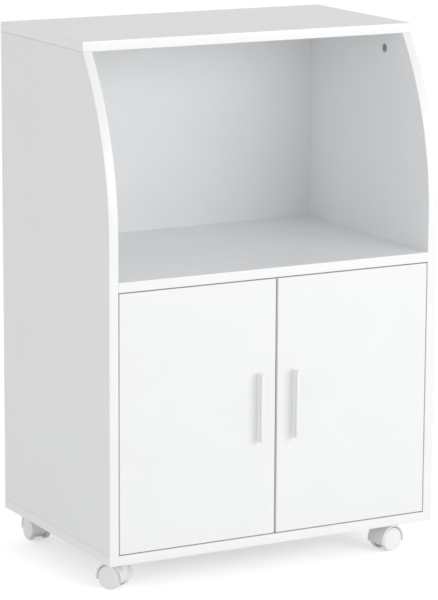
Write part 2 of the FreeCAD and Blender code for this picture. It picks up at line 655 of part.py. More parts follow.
def caster_hood(name):
    """Moulded hood: a round fender over both wheels, a drum between them and a boss for the king pin."""
    half = CASTER_WIDTH / 2
    shell = rod((CASTER_TRAIL, -half, WHEEL_RADIUS), Y_AXIS, HOOD_RADIUS, CASTER_WIDTH)
    rims = [edge for edge in shell.Edges if on_plane(edge, "y", -half) or on_plane(edge, "y", half)]
    shell = shell.makeChamfer(HOOD_SOFT, rims)
    below = box((CASTER_TRAIL - HOOD_RADIUS - 1, -half - 1, WHEEL_RADIUS - HOOD_RADIUS - 1),
                (CASTER_TRAIL + HOOD_RADIUS + 1, half + 1, HOOD_SKIRT))
    cutters = [below]
    for side in (-1, 1):
        start = (CASTER_TRAIL, side * WEB_HALF, WHEEL_RADIUS)
        cutters.append(rod(start, Y_AXIS * side, WHEEL_RADIUS + WHEEL_ROOM, WHEEL_WIDTH + 4))
    drum = rod((CASTER_TRAIL, -WEB_HALF, WHEEL_RADIUS), Y_AXIS, DRUM_RADIUS, 2 * WEB_HALF)
    boss = rod((0, 0, BOSS_FOOT), Z_AXIS, RACE_RADIUS, HOOD_TOP - BOSS_FOOT)
    boss = boss.common(box((-RACE_RADIUS, -WEB_HALF, BOSS_FOOT), (RACE_RADIUS, WEB_HALF, HOOD_TOP)))
    body = merged([cut_all(shell, cutters), drum, boss])
    bores = [rod((0, 0, KING_PIN_FOOT - 1), Z_AXIS, KING_PIN_RADIUS + RUNNING_CLEARANCE, HOOD_TOP),
             rod((CASTER_TRAIL, -half, WHEEL_RADIUS), Y_AXIS, AXLE_RADIUS, CASTER_WIDTH)]
    return placed(cut_all(body, bores), name)


def caster_axle(name):
    length = CASTER_WIDTH - 4.2
    return placed(rod((CASTER_TRAIL, -length / 2, WHEEL_RADIUS), Y_AXIS, AXLE_RADIUS, length), name)


def caster_wheel(name, side):
    """Moulded wheel: a flat-topped tread, a rim line round a slightly domed face, and a dished back."""
    inner = WEB_HALF + 1.0
    outer = CASTER_WIDTH / 2
    bore = AXLE_RADIUS + RUNNING_CLEARANCE
    profile = [(0, outer - 1.7), (bore, outer - 1.7), (bore, inner - 0.7), (5.5, inner - 0.7),
               (5.5, inner + 1.2), (17.0, inner + 1.2), (17.0, inner), (19.2, inner),
               (WHEEL_RADIUS, inner + 0.8),
               (WHEEL_RADIUS, outer - 1.2), (19.3, outer - 0.4), (18.5, outer - 0.4), (18.3, outer - 0.9),
               (17.9, outer - 0.9), (17.7, outer - 0.3), (9.0, outer), (0, outer + 0.1)]
    return placed(turned(profile, (CASTER_TRAIL, 0, WHEEL_RADIUS), Y_AXIS * side), name)


def caster_king_pins():
    """Swivel pins, riveted in the plates."""
    pins = [rod((x, y, KING_PIN_FOOT), Z_AXIS, KING_PIN_RADIUS, CASTER_HEIGHT - 0.5 - KING_PIN_FOOT)
            for x, y in caster_places().values()]
    return group(pins)


def caster_screws():
    low = CASTER_HEIGHT - PLATE_SHEET
    reach = PLATE_SHEET + CASTER_SCREW_LENGTH
    profile = [(0, -2.0), (2.2, -2.0), (3.4, -0.9), (3.4, 0), (CASTER_SCREW_RADIUS, 0),
               (CASTER_SCREW_RADIUS, reach), (0, reach)]
    return group([turned(profile, (x, y, low), Z_AXIS) for x, y in caster_screw_places()])


# ---- the whole cart ----
def all_pieces():
    """Every node's name and shape."""
    pieces = {
        "left_side_panel": left_side_panel(),
        "right_side_panel": mirrored(left_side_panel()),
        "top_panel": top_panel(),
        "bottom_panel": bottom_panel(),
        "microwave_shelf": microwave_shelf(),
        "back_panel": back_panel(),
        "adjustable_shelf": adjustable_shelf(),
        "shelf_pins": shelf_pins(),
        "cam_locks": cam_locks(),
        "cam_bolts": cam_bolts(),
        "dowels": dowels(),
        "hinge_plate_screws": hinge_plate_screws(),
        "hinge_arm_screws": hinge_arm_screws(),
        "caster_king_pins": caster_king_pins(),
        "caster_screws": caster_screws(),
    }
    left_handed = {
        "door": left_door(),
        "door_handle": left_door_handle(),
        "handle_screws": left_handle_screws(),
        "cup_screws": left_cup_screws(),
        "cup_pins": group([cup_pin(z) for z in HINGE_HEIGHTS.values()]),
        "hinge_links": group([hinge_link(z) for z in HINGE_HEIGHTS.values()]),
    }
    for level, z in HINGE_HEIGHTS.items():
        left_handed[level + "_hinge_cup"] = hinge_cup(z)
        left_handed[level + "_hinge_arm"] = hinge_arm(z)
        left_handed[level + "_hinge_plate"] = hinge_plate(z)
    for name, solid in left_handed.items():
        pieces["left_" + name] = solid
        pieces["right_" + name] = mirrored(solid)
    arm_pins = [hinge_arm_pin(z) for z in HINGE_HEIGHTS.values()]
    pieces["hinge_arm_pins"] = group(arm_pins + [mirrored(pin) for pin in arm_pins])
    for name in caster_places():
        pieces[name + "_caster_plate"] = caster_plate(name)
        pieces[name + "_caster_hood"] = caster_hood(name)
        pieces[name + "_caster_axle"] = caster_axle(name)
        pieces[name + "_wheel_a"] = caster_wheel(name, 1)
        pieces[name + "_wheel_b"] = caster_wheel(name, -1)
    return pieces


os.makedirs("parts", exist_ok=True)
for node, shape in all_pieces().items():
    if not shape.isValid():
        raise ValueError(node + " is not a valid shape")
    shape.exportStep("parts/" + node + ".step")
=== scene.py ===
import json
import math

import bmesh
import bpy
import numpy as np
from mathutils import Matrix, Vector


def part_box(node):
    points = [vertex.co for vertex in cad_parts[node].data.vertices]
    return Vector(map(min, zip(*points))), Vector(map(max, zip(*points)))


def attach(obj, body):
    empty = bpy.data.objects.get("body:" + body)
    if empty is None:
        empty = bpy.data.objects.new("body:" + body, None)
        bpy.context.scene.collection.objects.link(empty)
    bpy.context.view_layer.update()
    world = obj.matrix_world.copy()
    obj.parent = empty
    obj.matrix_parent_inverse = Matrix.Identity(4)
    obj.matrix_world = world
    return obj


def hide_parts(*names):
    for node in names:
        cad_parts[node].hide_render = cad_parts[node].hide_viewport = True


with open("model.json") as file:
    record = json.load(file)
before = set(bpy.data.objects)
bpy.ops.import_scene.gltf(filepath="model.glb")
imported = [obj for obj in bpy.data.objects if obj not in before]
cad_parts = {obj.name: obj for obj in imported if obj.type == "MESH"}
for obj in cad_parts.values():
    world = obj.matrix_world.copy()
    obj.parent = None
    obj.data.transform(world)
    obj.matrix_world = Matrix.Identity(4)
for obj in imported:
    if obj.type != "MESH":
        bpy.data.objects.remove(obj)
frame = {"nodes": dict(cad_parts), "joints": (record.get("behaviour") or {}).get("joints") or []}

bl_info = {
    "name": "Microwave cart",
    "version": (1, 0, 0),
    "blender": (4, 5, 0),
    "location": "3D View > Sidebar > Cart",
    "description": "Finishes a white board cart on casters: edge bands, wheels, handles, hinges and a studio",
    "category": "Add Mesh",
}

MM = 0.001
UP = np.array((0.0, 0.0, 1.0))
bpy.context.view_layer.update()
CASTERS = ("front_left", "front_right", "rear_left", "rear_right")
SIDES = ("left", "right")


# ---- sizes read from the frame, in metres ----
def low(node):
    return np.array(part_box(node)[0])


def high(node):
    return np.array(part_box(node)[1])


BOARD = float(high("top_panel")[2] - low("top_panel")[2])
HALF_WIDTH = float(high("right_side_panel")[0])
FRONT_Y = float(low("bottom_panel")[1])
SIDE_BOTTOM = float(low("left_side_panel")[2])
SIDE_TOP = float(high("left_side_panel")[2])
SETBACK = float(low("top_panel")[1]) - FRONT_Y
CURVE_START = 0.574  # the height where the side boards' front edges begin to curve
CURVE_RISE = SIDE_TOP - CURVE_START
CURVE_RADIUS = (SETBACK ** 2 + CURVE_RISE ** 2) / (2 * SETBACK)
CURVE_ANGLE = math.atan2(CURVE_RISE, CURVE_RADIUS - SETBACK)
JOINTS = {joint["name"]: joint for joint in frame["joints"]}

# ---- the camera, as a fit to the photograph's straight edges gives it for a frame of 438 by 600 ----
FRAME_HEIGHT_PIXELS = 600
SENSOR_MM = 36.0
CAMERA_FOCAL_PIXELS = 3054.7
CAMERA_PLACE = (-2.3628, FRONT_Y - 4.1734, SIDE_BOTTOM - BOARD + 1.3995)
CAMERA_DEGREES = (-28.403, 11.726, 0.294)

# ---- the studio, in metres ----
CART_MIDDLE = 0.45
FLOOR_RADIUS = 9.0


# ---- small tools ----
def linear(hex_colour):
    """An sRGB hex colour as linear red, green, blue and alpha."""
    parts = [int(hex_colour[i:i + 2], 16) / 255 for i in (1, 3, 5)]
    return tuple(p / 12.92 if p <= 0.04045 else ((p + 0.055) / 1.055) ** 2.4 for p in parts) + (1.0,)


def node(tree, kind, settings=None, **inputs):
    """Adds a shader node. settings are its properties; each input is a value or another node's output.
    An input called i0 or i1 is taken by its number."""
    new = tree.nodes.new("ShaderNode" + kind)
    for key, value in (settings or {}).items():
        setattr(new, key, value)
    for key, value in inputs.items():
        numbered = key[0] == "i" and key[1:].isdigit()
        socket = new.inputs[int(key[1:]) if numbered else key.replace("_", " ")]
        if isinstance(value, bpy.types.NodeSocket):
            tree.links.new(value, socket)
        else:
            socket.default_value = value
    return new


def new_material(name):
    """An empty node material and its tree."""
    material = bpy.data.materials.new(name)
    material.use_nodes = True
    material.node_tree.nodes.clear()
    return material, material.node_tree


def surface(name, points, close_u=False, close_v=False, caps=False, smooth_angle=35.0):
    """A mesh from a grid of points, one row for each value of u. Neighbouring rows and columns are joined by
    quads, a closed direction joins its last to its first, and caps close both end rows with one face each."""
    rows, columns = points.shape[:2]
    index = np.arange(rows * columns).reshape(rows, columns)
    u = np.arange(rows if close_u else rows - 1)
    v = np.arange(columns if close_v else columns - 1)
    u, v = np.meshgrid(u, v, indexing="ij")
    next_u, next_v = (u + 1) % rows, (v + 1) % columns
    quads = np.stack([index[u, v], index[u, next_v], index[next_u, next_v], index[next_u, v]], -1)
    faces = quads.reshape(-1, 4).tolist()
    if caps:
        faces += [index[0, ::-1].tolist(), index[-1].tolist()]
    mesh = bpy.data.meshes.new(name)
    mesh.from_pydata(points.reshape(-1, 3).tolist(), [], faces)
    close_poles(mesh)
    outward(mesh)
    mesh.shade_smooth()
    mesh.set_sharp_from_angle(angle=math.radians(smooth_angle))
    piece = bpy.data.objects.new(name, mesh)
    bpy.context.scene.collection.objects.link(piece)
    return piece


def close_poles(mesh):
    """Joins points that lie on each other, such as those where a turned surface meets its axis."""
    shell = bmesh.new()
    shell.from_mesh(mesh)
    bmesh.ops.remove_doubles(shell, verts=shell.verts, dist=0.0005 * MM)
    shell.to_mesh(mesh)
    shell.free()


def softened(corners, reach, steps=5):
    """A closed section with its corners rounded: each corner c becomes the points
    c + reach ((1 - s)^2 u + s^2 v), where u and v point along its two sides and s goes from 0 to 1."""
    corners = np.array(corners, dtype=float)
    back = np.roll(corners, 1, 0) - corners
    ahead = np.roll(corners, -1, 0) - corners
    back /= np.linalg.norm(back, axis=1, keepdims=True)
    ahead /= np.linalg.norm(ahead, axis=1, keepdims=True)
    s = np.linspace(0, 1, steps)[None, :, None]
    bend = (1 - s) ** 2 * back[:, None] + s ** 2 * ahead[:, None]
    return (corners[:, None] + np.array(reach, dtype=float)[:, None, None] * bend).reshape(-1, 2)


def outward(mesh):
    """Turns every face of a closed mesh outwards if its volume is negative: the sum of a . (b x c) over its
    triangles a, b, c."""
    mesh.calc_loop_triangles()
    corners = np.zeros(len(mesh.vertices) * 3)
    mesh.vertices.foreach_get("co", corners)
    triangles = np.zeros(len(mesh.loop_triangles) * 3, dtype=np.int32)
    mesh.loop_triangles.foreach_get("vertices", triangles)
    a, b, c = corners.reshape(-1, 3)[triangles].reshape(-1, 3, 3).transpose(1, 0, 2)
    if np.einsum("ij,ij->i", a, np.cross(b, c)).sum() < 0:
        mesh.flip_normals()


def joined(name, pieces):
    """Several pieces as one object."""
    bpy.ops.object.select_all(action="DESELECT")
    for piece in pieces:
        piece.select_set(True)
    bpy.context.view_layer.objects.active = pieces[0]
    bpy.ops.object.join()
    pieces[0].name = name
    pieces[0].data.name = name
    return pieces[0]


def dress(piece, body, material):
    """Gives a new piece its body and material."""
    piece.data.materials.clear()
    piece.data.materials.append(material)
    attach(piece, body)


def paint(names, material):
    """Gives CAD nodes a material."""
    for name in names:
        mesh = frame["nodes"][name].data
        mesh.materials.clear()
        mesh.materials.append(material)


# ---- materials, whose patterns read Object coordinates: metres in the cart's own frame ----
# width of the painted shade line drawn in the open joints at the side boards' ends
JOINT_SHADOW = 0.45 * MM
PAPER_DEPTH = 0.55 * MM  # under a board's faces, the white gives way to chips from here
CORE_DEPTH = 0.75 * MM  # to here


def melamine_board(name, colour, lowest, highest, curved=False):
    """Melamine-faced particleboard: white paper pressed under resin against a steel plate with a fine pearl
    texture, so it is satin and very slightly dimpled. Walls cut into it, such as bores and grooves, show the
    chips inside. lowest and highest are the board's corners. curved is for the side boards: it adds the
    front arc, and a painted shade line at both ends, where the joint to the next board stays open a hair and
    shade falls into it. The line is drawn about twice as wide as the real one, so that it shows."""
    material, tree = new_material(name)
    place = node(tree, "TexCoord").outputs["Object"]
    pearl = node(tree, "TexNoise", Vector=place, Scale=1 / (1.6 * MM), Detail=3.0, Roughness=0.55)
    cloud = node(tree, "TexNoise", Vector=place, Scale=1 / (90 * MM), Detail=2.0)
    shade = node(tree, "MapRange", Value=cloud.outputs["Fac"], i1=0.3, i2=0.7, i3=0.985, i4=1.0)
    face = node(tree, "Mix", {"data_type": "RGBA", "blend_type": "MULTIPLY"}, i0=1.0, i6=colour,
                i7=shade.outputs["Result"])
    from_low = node(tree, "VectorMath", {"operation": "SUBTRACT"}, i0=place, i1=tuple(lowest))
    from_high = node(tree, "VectorMath", {"operation": "SUBTRACT"}, i0=tuple(highest), i1=place)
    nearest = node(tree, "VectorMath", {"operation": "MINIMUM"}, i0=from_low.outputs[0],
                   i1=from_high.outputs[0])
    split = node(tree, "SeparateXYZ", Vector=nearest.outputs[0])
    depth = node(tree, "Math", {"operation": "MINIMUM"}, i0=split.outputs[0], i1=split.outputs[1])
    depth = node(tree, "Math", {"operation": "MINIMUM"}, i0=depth.outputs[0], i1=split.outputs[2])
    if curved:
        # painted shade: a darker colour, JOINT_SHADOW wide, at the board's top and bottom ends, where the
        # joint is open
        end = node(tree, "Math", {"operation": "LESS_THAN"}, i0=split.outputs[2], i1=JOINT_SHADOW)
        face = node(tree, "Mix", {"data_type": "RGBA"}, i0=end.outputs[0], i6=face.outputs["Result"],
                    i7=linear("#B4B4B2"))
        centre = (0.0, FRONT_Y + CURVE_RADIUS, CURVE_START)
        flat = node(tree, "VectorMath", {"operation": "MULTIPLY"}, i0=place, i1=(0.0, 1.0, 1.0))
        span = node(tree, "VectorMath", {"operation": "DISTANCE"}, i0=flat.outputs[0], i1=centre)
        inside = node(tree, "Math", {"operation": "SUBTRACT"}, i0=CURVE_RADIUS, i1=span.outputs["Value"])
        above = node(tree, "SeparateXYZ", Vector=place)
        below = node(tree, "Math", {"operation": "LESS_THAN"}, i0=above.outputs[2], i1=CURVE_START)
        arc = node(tree, "Math", {"operation": "ADD"}, i0=inside.outputs[0], i1=below.outputs[0])
        depth = node(tree, "Math", {"operation": "MINIMUM"}, i0=depth.outputs[0], i1=arc.outputs[0])
    core = node(tree, "MapRange", Value=depth.outputs[0], i1=PAPER_DEPTH, i2=CORE_DEPTH, i3=0.0, i4=1.0)
    chips = node(tree, "TexVoronoi", Vector=place, Scale=1 / (2.2 * MM))
    tan = node(tree, "Mix", {"data_type": "RGBA"}, i0=chips.outputs["Color"], i6=linear("#A98559"),
               i7=linear("#D2B48A"))
    colours = node(tree, "Mix", {"data_type": "RGBA"}, i0=core.outputs[0], i6=face.outputs["Result"],
                   i7=tan.outputs["Result"])
    rough = node(tree, "MapRange", Value=pearl.outputs["Fac"], i1=0.3, i2=0.7, i3=0.36, i4=0.46)
    rough = node(tree, "Mix", {"data_type": "FLOAT"}, i0=core.outputs[0], i2=rough.outputs[0], i3=0.85)
    bump = node(tree, "Bump", Height=pearl.outputs["Fac"], Strength=0.25, Distance=0.06 * MM)
    shader = node(tree, "BsdfPrincipled", Base_Color=colours.outputs["Result"], Roughness=rough.outputs[0],
                  IOR=1.5, Normal=bump.outputs[0])
    node(tree, "OutputMaterial", Surface=shader.outputs[0])
    return material


def edge_band(name, colour):
    """ABS edge band: extruded plastic strip, scraped and buffed after trimming, so it is smoother and a touch
    glossier than the board's face, with faint ripples."""
    material, tree = new_material(name)
    place = node(tree, "TexCoord").outputs["Object"]
    ripple = node(tree, "TexNoise", Vector=place, Scale=1 / (5 * MM), Detail=2.0)
    rough = node(tree, "MapRange", Value=ripple.outputs["Fac"], i1=0.3, i2=0.7, i3=0.28, i4=0.38)
    bump = node(tree, "Bump", Height=ripple.outputs["Fac"], Strength=0.12, Distance=0.05 * MM)
    cloud = node(tree, "TexNoise", Vector=place, Scale=1 / (60 * MM), Detail=2.0)
    shade = node(tree, "MapRange", Value=cloud.outputs["Fac"], i1=0.3, i2=0.7, i3=0.99, i4=1.0)
    face = node(tree, "Mix", {"data_type": "RGBA", "blend_type": "MULTIPLY"}, i0=1.0, i6=colour,
                i7=shade.outputs["Result"])
    shader = node(tree, "BsdfPrincipled", Base_Color=face.outputs["Result"], Roughness=rough.outputs[0],
                  IOR=1.5, Normal=bump.outputs[0])
    node(tree, "OutputMaterial", Surface=shader.outputs[0])
    return material


SCREEN_PITCH = 1.6 * MM


def back_hardboard(name, colour):
    """White-lacquered hardboard, rolled on in one thin coat: flatter than melamine, and its rear keeps a soft
    print of the screen that it was pressed on. A wave of scale pi / 10 repeats once in each unit."""
    material, tree = new_material(name)
    place = node(tree, "TexCoord").outputs["Object"]
    split = node(tree, "SeparateXYZ", Vector=place)
    middle = float(low("back_panel")[1] + high("back_panel")[1]) / 2
    rear = node(tree, "Math", {"operation": "GREATER_THAN"}, i0=split.outputs[1], i1=middle)
    pitch_scale = math.pi / (10 * SCREEN_PITCH)
    across = node(tree, "TexWave", {"bands_direction": "X"}, Vector=place, Scale=pitch_scale)
    along = node(tree, "TexWave", {"bands_direction": "Z"}, Vector=place, Scale=pitch_scale)
    screen = node(tree, "Math", {"operation": "MULTIPLY"}, i0=across.outputs["Fac"], i1=along.outputs["Fac"])
    screen = node(tree, "Math", {"operation": "MULTIPLY"}, i0=screen.outputs[0], i1=rear.outputs[0])
    fibre = node(tree, "TexNoise", Vector=place, Scale=1 / (2.5 * MM), Detail=3.0)
    cloud = node(tree, "TexNoise", Vector=place, Scale=1 / (120 * MM), Detail=3.0)
    shade = node(tree, "MapRange", Value=cloud.outputs["Fac"], i1=0.3, i2=0.7, i3=0.975, i4=1.0)
    face = node(tree, "Mix", {"data_type": "RGBA", "blend_type": "MULTIPLY"}, i0=1.0, i6=colour,
                i7=shade.outputs["Result"])
    height = node(tree, "Math", {"operation": "ADD"}, i0=screen.outputs[0], i1=fibre.outputs["Fac"])
    bump = node(tree, "Bump", Height=height.outputs[0], Strength=0.3, Distance=0.08 * MM)
    rough = node(tree, "MapRange", Value=fibre.outputs["Fac"], i1=0.3, i2=0.7, i3=0.45, i4=0.6)
    shader = node(tree, "BsdfPrincipled", Base_Color=face.outputs["Result"], Roughness=rough.outputs[0],
                  IOR=1.5, Normal=bump.outputs[0])
    node(tree, "OutputMaterial", Surface=shader.outputs[0])
    return material


def powder_coated_aluminium(name, colour):
    """White powder coat on an extruded aluminium bar: polyester powder, sprayed on and baked. The melt leaves
    a satin skin with a faint orange peel, drawn a little coarser than the real one so that it shows."""
    material, tree = new_material(name)
    place = node(tree, "TexCoord").outputs["Object"]
    peel = node(tree, "TexNoise", Vector=place, Scale=1 / (2.0 * MM), Detail=2.0)
    cloud = node(tree, "TexNoise", Vector=place, Scale=1 / (30 * MM), Detail=2.0)
    shade = node(tree, "MapRange", Value=cloud.outputs["Fac"], i1=0.3, i2=0.7, i3=0.985, i4=1.0)
    coat = node(tree, "Mix", {"data_type": "RGBA", "blend_type": "MULTIPLY"}, i0=1.0, i6=colour,
                i7=shade.outputs["Result"])
    rough = node(tree, "MapRange", Value=peel.outputs["Fac"], i1=0.3, i2=0.7, i3=0.32, i4=0.4)
    bump = node(tree, "Bump", Height=peel.outputs["Fac"], Strength=0.2, Distance=0.04 * MM)
    shader = node(tree, "BsdfPrincipled", Base_Color=coat.outputs["Result"], Roughness=rough.outputs[0],
                  IOR=1.5, Normal=bump.outputs[0])
    node(tree, "OutputMaterial", Surface=shader.outputs[0])
    return material


def plated_steel(name, colour, grain, smooth, rough):
    """Pressed or turned steel with a thin bright plating: smooth, with a faint spangle and a roughness from
    smooth to rough where the plating is thicker. grain is the spangle's size in metres."""
    material, tree = new_material(name)
    place = node(tree, "TexCoord").outputs["Object"]
    spangle = node(tree, "TexNoise", Vector=place, Scale=1 / grain, Detail=2.0)
    uneven = node(tree, "MapRange", Value=spangle.outputs["Fac"], i1=0.3, i2=0.7, i3=smooth, i4=rough)
    tint = node(tree, "MapRange", Value=spangle.outputs["Fac"], i1=0.2, i2=0.8, i3=0.94, i4=1.0)
    metal = node(tree, "Mix", {"data_type": "RGBA", "blend_type": "MULTIPLY"}, i0=1.0, i6=colour,
                 i7=tint.outputs["Result"])
    bump = node(tree, "Bump", Height=spangle.outputs["Fac"], Strength=0.04, Distance=0.02 * MM)
    shader = node(tree, "BsdfPrincipled", Base_Color=metal.outputs["Result"], Metallic=1.0,
                  Roughness=uneven.outputs[0], Normal=bump.outputs[0])
    node(tree, "OutputMaterial", Surface=shader.outputs[0])
    return material


def moulded_plastic(name, colour, rough, grain):
    """Injection-moulded polypropylene or nylon: a matt skin with fine spark-eroded grain from the mould, and
    a slow drift of shade from the flow of the melt. grain is the grain's size in metres."""
    material, tree = new_material(name)
    place = node(tree, "TexCoord").outputs["Object"]
    skin = node(tree, "TexNoise", Vector=place, Scale=1 / grain, Detail=3.0)
    flow = node(tree, "TexNoise", Vector=place, Scale=1 / (14 * MM), Detail=2.0, Distortion=0.6)
    shade = node(tree, "MapRange", Value=flow.outputs["Fac"], i1=0.3, i2=0.7, i3=0.985, i4=1.0)
    face = node(tree, "Mix", {"data_type": "RGBA", "blend_type": "MULTIPLY"}, i0=1.0, i6=colour,
                i7=shade.outputs["Result"])
    uneven = node(tree, "MapRange", Value=skin.outputs["Fac"], i1=0.3, i2=0.7, i3=rough - 0.05,
                  i4=rough + 0.05)
    bump = node(tree, "Bump", Height=skin.outputs["Fac"], Strength=0.2, Distance=0.04 * MM)
    shader = node(tree, "BsdfPrincipled", Base_Color=face.outputs["Result"], Roughness=uneven.outputs[0],
                  IOR=1.49, Normal=bump.outputs[0])
    node(tree, "OutputMaterial", Surface=shader.outputs[0])
    return material


def turned_beech(name):
    """Beech dowel, lathe-turned and fluted: pale pinkish brown with short dark flecks along the grain."""
    material, tree = new_material(name)
    place = node(tree, "TexCoord").outputs["Object"]
    stretched = node(tree, "Mapping", Vector=place, Scale=(1.0, 1.0, 0.12))
    grain = node(tree, "TexNoise", Vector=stretched.outputs[0], Scale=1 / (0.8 * MM), Detail=4.0)
    wood = node(tree, "Mix", {"data_type": "RGBA"}, i0=grain.outputs["Fac"], i6=linear("#C9A06E"),
                i7=linear("#A87F52"))
    bump = node(tree, "Bump", Height=grain.outputs["Fac"], Strength=0.3, Distance=0.05 * MM)
    shader = node(tree, "BsdfPrincipled", Base_Color=wood.outputs["Result"], Roughness=0.7, IOR=1.5,
                  Normal=bump.outputs[0])
    node(tree, "OutputMaterial", Surface=shader.outputs[0])
    return material


# ---- edge bands ----
def band_profile(width, thick, radius, proud):
    """A band's section as (across, out) points: a flat strip whose two outer corners are quarter circles of
    the given radius. It stands proud of the board by a little on its face and both its edges."""
    half = width / 2 + proud
    angle = np.linspace(0, math.pi / 2, 5)
    right = np.stack([half - radius + radius * np.cos(angle), proud - radius + radius * np.sin(angle)], -1)
    left = np.stack([-right[::-1, 0], right[::-1, 1]], -1)
    return np.concatenate([[[half, -thick]], right, left, [[-half, -thick]]])


def straight_band(name, start, end, out, width, style):
    """A band from start to end along a board's edge: point = start + t (end - start) + across * side
    + height * out, where side is square to both."""
    start, end, out = np.array(start), np.array(end), np.array(out)
    along = (end - start) / np.linalg.norm(end - start)
    side = np.cross(out, along)
    section = band_profile(width, *style)
    ring = section[:, :1] * side + section[:, 1:] * out
    return surface(name, np.stack([start + ring, end + ring]), close_v=True, caps=True)


BAND_END_GAP = 0.1 * MM


def curved_band(name, x, style, steps=64):
    """The side board's front band: straight up to where the curve starts, then round the arc
    (y, z) = (front + R (1 - cos a), start + R sin a). Its top is cut level, a hair under the top board."""
    angle = np.linspace(0, CURVE_ANGLE, steps)
    y = np.concatenate([[FRONT_Y], FRONT_Y + CURVE_RADIUS * (1 - np.cos(angle))])
    z = np.concatenate([[SIDE_BOTTOM], CURVE_START + CURVE_RADIUS * np.sin(angle)])
    out_y = np.concatenate([[-1.0], -np.cos(angle)])
    out_z = np.concatenate([[0.0], np.sin(angle)])
    section = band_profile(BOARD, *style)
    points = np.zeros((len(y), len(section), 3))
    points[..., 0] = x + section[:, 0]
    points[..., 1] = y[:, None] + out_y[:, None] * section[:, 1]
    points[..., 2] = z[:, None] + out_z[:, None] * section[:, 1]
    points[-1, :, 2] = SIDE_TOP - BAND_END_GAP
    return surface(name, points, close_v=True, caps=True)


def framing_band(name, corners, normal, width, style):
    """One band round a board's four edges, mitred at the corners. Each corner's points lie out along the
    corner's diagonal, so both neighbouring strips keep their thickness."""
    corners = np.array(corners, dtype=float)
    before = corners - np.roll(corners, 1, 0)
    after = np.roll(corners, -1, 0) - corners
    before /= np.linalg.norm(before, axis=1, keepdims=True)
    after /= np.linalg.norm(after, axis=1, keepdims=True)
    outwards = before - after
    section = band_profile(width, *style)
    across = section[None, :, :1] * np.array(normal)
    points = corners[:, None] + across + section[None, :, 1:] * outwards[:, None]
    return surface(name, points, close_u=True, close_v=True, smooth_angle=40.0)


# ---- handles, narrower and less deep than the frame's, as their edges in the photograph show ----
HANDLE_CROWN = 0.4 * MM
HANDLE_GROOVE_WIDTH = 2.8 * MM
HANDLE_GROOVE_MIDDLE = 2.4 * MM


def handle_section(half_width, projection, groove, soft):
    """The handle's level section as (across, out) points: a crowned front, straight sides with a groove just
    behind the front, whose depth is groove times the lesser of 1 and 2 sin^2 (pi s) with s from 0 to 1 over
    its width, and a flat foot."""
    shoulder = projection - HANDLE_CROWN
    s = np.linspace(0, 1, 21)
    out = shoulder - HANDLE_GROOVE_MIDDLE + HANDLE_GROOVE_WIDTH * (s - 0.5)
    across = half_width - groove * np.minimum(1, 2 * np.sin(math.pi * s) ** 2)
    side = np.concatenate([[(half_width, 0.0)], np.stack([across, out], -1)])
    crown = np.linspace(1, -1, 9)
    front = np.stack([half_width * crown, shoulder + HANDLE_CROWN * (1 - crown ** 2)], -1)
    mirrored = side[::-1] * (-1, 1)
    reach = np.zeros(len(side) * 2 + len(front))
    reach[[len(side), len(side) + len(front) - 1]] = soft
    return softened(np.concatenate([side, front, mirrored]), reach)


def extruded_handle(name, cad_node, width, projection, groove, soft):
    """A bar handle on the place of its node: its section carried up, and drawn in by soft (1 - sin a) at
    soft (1 - cos a) from each end, which rounds the ends."""
    lowest, highest = low(cad_node), high(cad_node)
    half_width = width / 2
    section = handle_section(half_width, projection, groove, soft)
    a = np.linspace(0, math.pi / 2, 6)
    drawn_in = soft * (1 - np.sin(a))
    near_end = soft * (1 - np.cos(a))
    height = np.concatenate([lowest[2] + near_end, (highest[2] - near_end)[::-1]])
    drawn_in = np.concatenate([drawn_in, drawn_in[::-1]])[:, None]
    points = np.zeros((len(height), len(section), 3))
    points[..., 0] = (lowest[0] + highest[0]) / 2 + section[:, 0] * (1 - drawn_in / half_width)
    points[..., 1] = highest[1] - section[:, 1] * (1 - drawn_in / projection)
    points[..., 2] = height[:, None]
    return surface(name, points, close_v=True, caps=True, smooth_angle=12.0)


# ---- casters, with heights over the floor ----
AXLE_HEIGHT = 20.0 * MM
SKIRT_HEIGHT = 15.0 * MM
WEB_HALF = 9.3 * MM
WEB_RADIUS = 8.0 * MM
POCKET_RADIUS = 21.3 * MM
FENDER_HALF = 18.3 * MM
FENDER_FILLET = 0.4 * MM
BOSS_FOOT = 22.0 * MM
BOSS_TOP = 49.5 * MM
BOSS_RADIUS = 10.5 * MM
BOSS_RIM = 0.6 * MM
KING_PIN_BORE = 3.56 * MM
WHEEL_SECTION_MM = (
    # (radius, distance out from the wheel's inner face)
    (0.0, 6.3), (2.06, 6.3), (2.06, -0.7), (5.2, -0.7), (5.5, -0.4), (5.5, 1.2), (6.0, 1.6), (16.4, 1.6),
    (16.9, 1.1), (17.0, 0.2), (17.3, 0.0), (19.0, 0.0), (19.5, 0.15), (19.85, 0.5), (20.0, 1.0),
    (20.0, 6.5), (19.9, 6.95), (19.65, 7.3), (19.2, 7.55), (18.7, 7.6), (18.45, 7.5), (18.4, 7.15),
    (18.1, 7.1), (18.0, 7.5), (17.7, 7.75), (17.0, 7.85), (13.0, 7.98), (8.0, 8.06), (4.0, 8.09), (0.0, 8.1))


def wheel_frame(name):
    """A wheel's centre, the axle's direction out of its outer face, and the level direction square to it."""
    joint = next(j for j in frame["joints"] if j["child"] == name)
    axle = np.array(joint["axis"], dtype=float)
    axle /= np.linalg.norm(axle)
    if name.endswith("_b"):
        axle = -axle
    return np.array(joint["pos_m"], dtype=float), axle, np.cross(axle, UP)


def turned(centre, axle, across, section, angles):
    """The points of a solid of revolution: centre + radius (cos a across + sin a up) + distance axle.
    section holds (radius, distance) rows, and angles has one row for each a and one column for each point of
    the section, or one for all."""
    spoke = np.cos(angles)[..., None] * across + np.sin(angles)[..., None] * UP
    return centre + section[None, :, :1] * spoke + section[None, :, 1:] * axle


